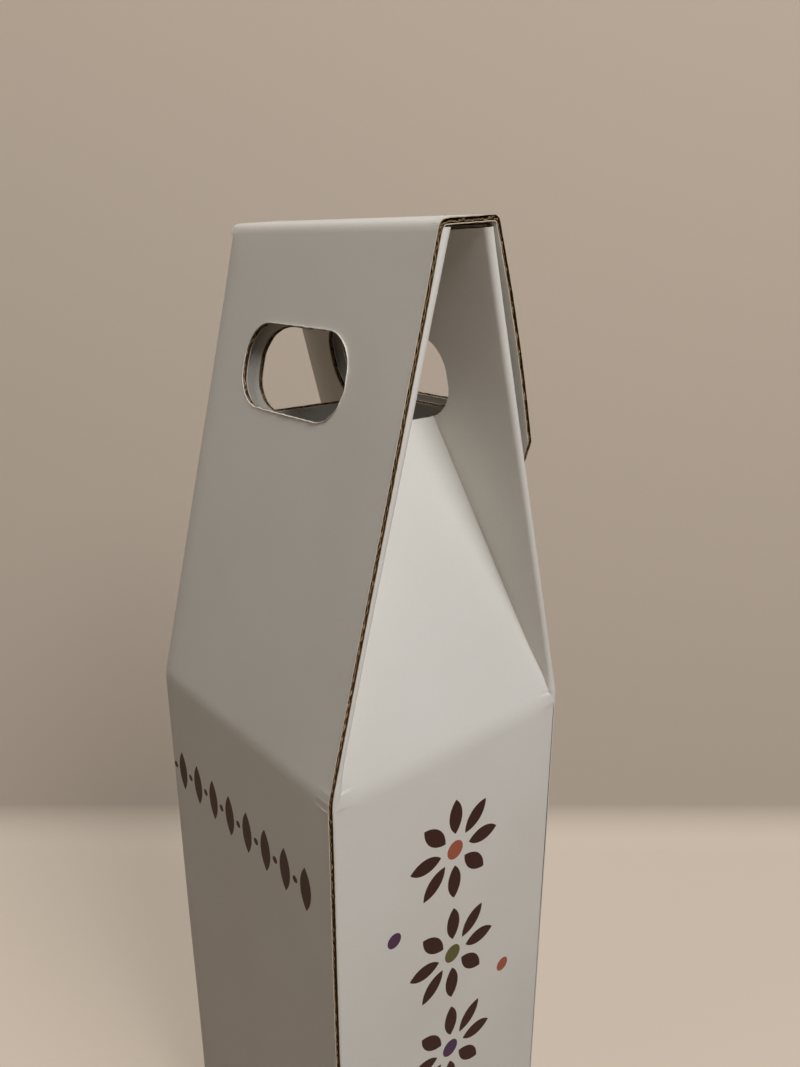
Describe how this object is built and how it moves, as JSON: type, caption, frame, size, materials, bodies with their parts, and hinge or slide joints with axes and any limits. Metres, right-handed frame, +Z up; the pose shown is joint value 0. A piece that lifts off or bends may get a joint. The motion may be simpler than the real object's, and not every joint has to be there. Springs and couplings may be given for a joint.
{
  "type": "bottle shipping box",
  "caption": "Gable-top carton of thin white-lined corrugated board for one bottle, with a handle made by its leaning roof panels, folded-in gussets and a hinged top strip and back flap.",
  "frame": {"origin": "under the middle of the box's base, on the surface it stands on", "axes": "+Z up along the box, -Y out of the front panel that carries on over the top, +X to the right side as seen from the front"},
  "size_m": [0.094, 0.091, 0.3653],
  "materials": {
    "white_board": "white coated liner, matt, with brown fluting at the cut edges"
  },
  "bodies": {
    "carton": {"box_body": "white_board"},
    "lid": {"top_strip": "white_board"},
    "flap": {"back_flap": "white_board"}
  },
  "joints": [
    {"name": "strip_fold", "type": "hinge", "parent": "carton", "child": "lid", "pos_m": [0, -0.00838, 0.36329], "axis": [1, 0, 0], "range_deg": [0, 104]},
    {"name": "flap_fold", "type": "hinge", "parent": "lid", "child": "flap", "pos_m": [0, 0.01003, 0.36449], "axis": [1, 0, 0], "range_deg": [0, 165]}
  ]
}
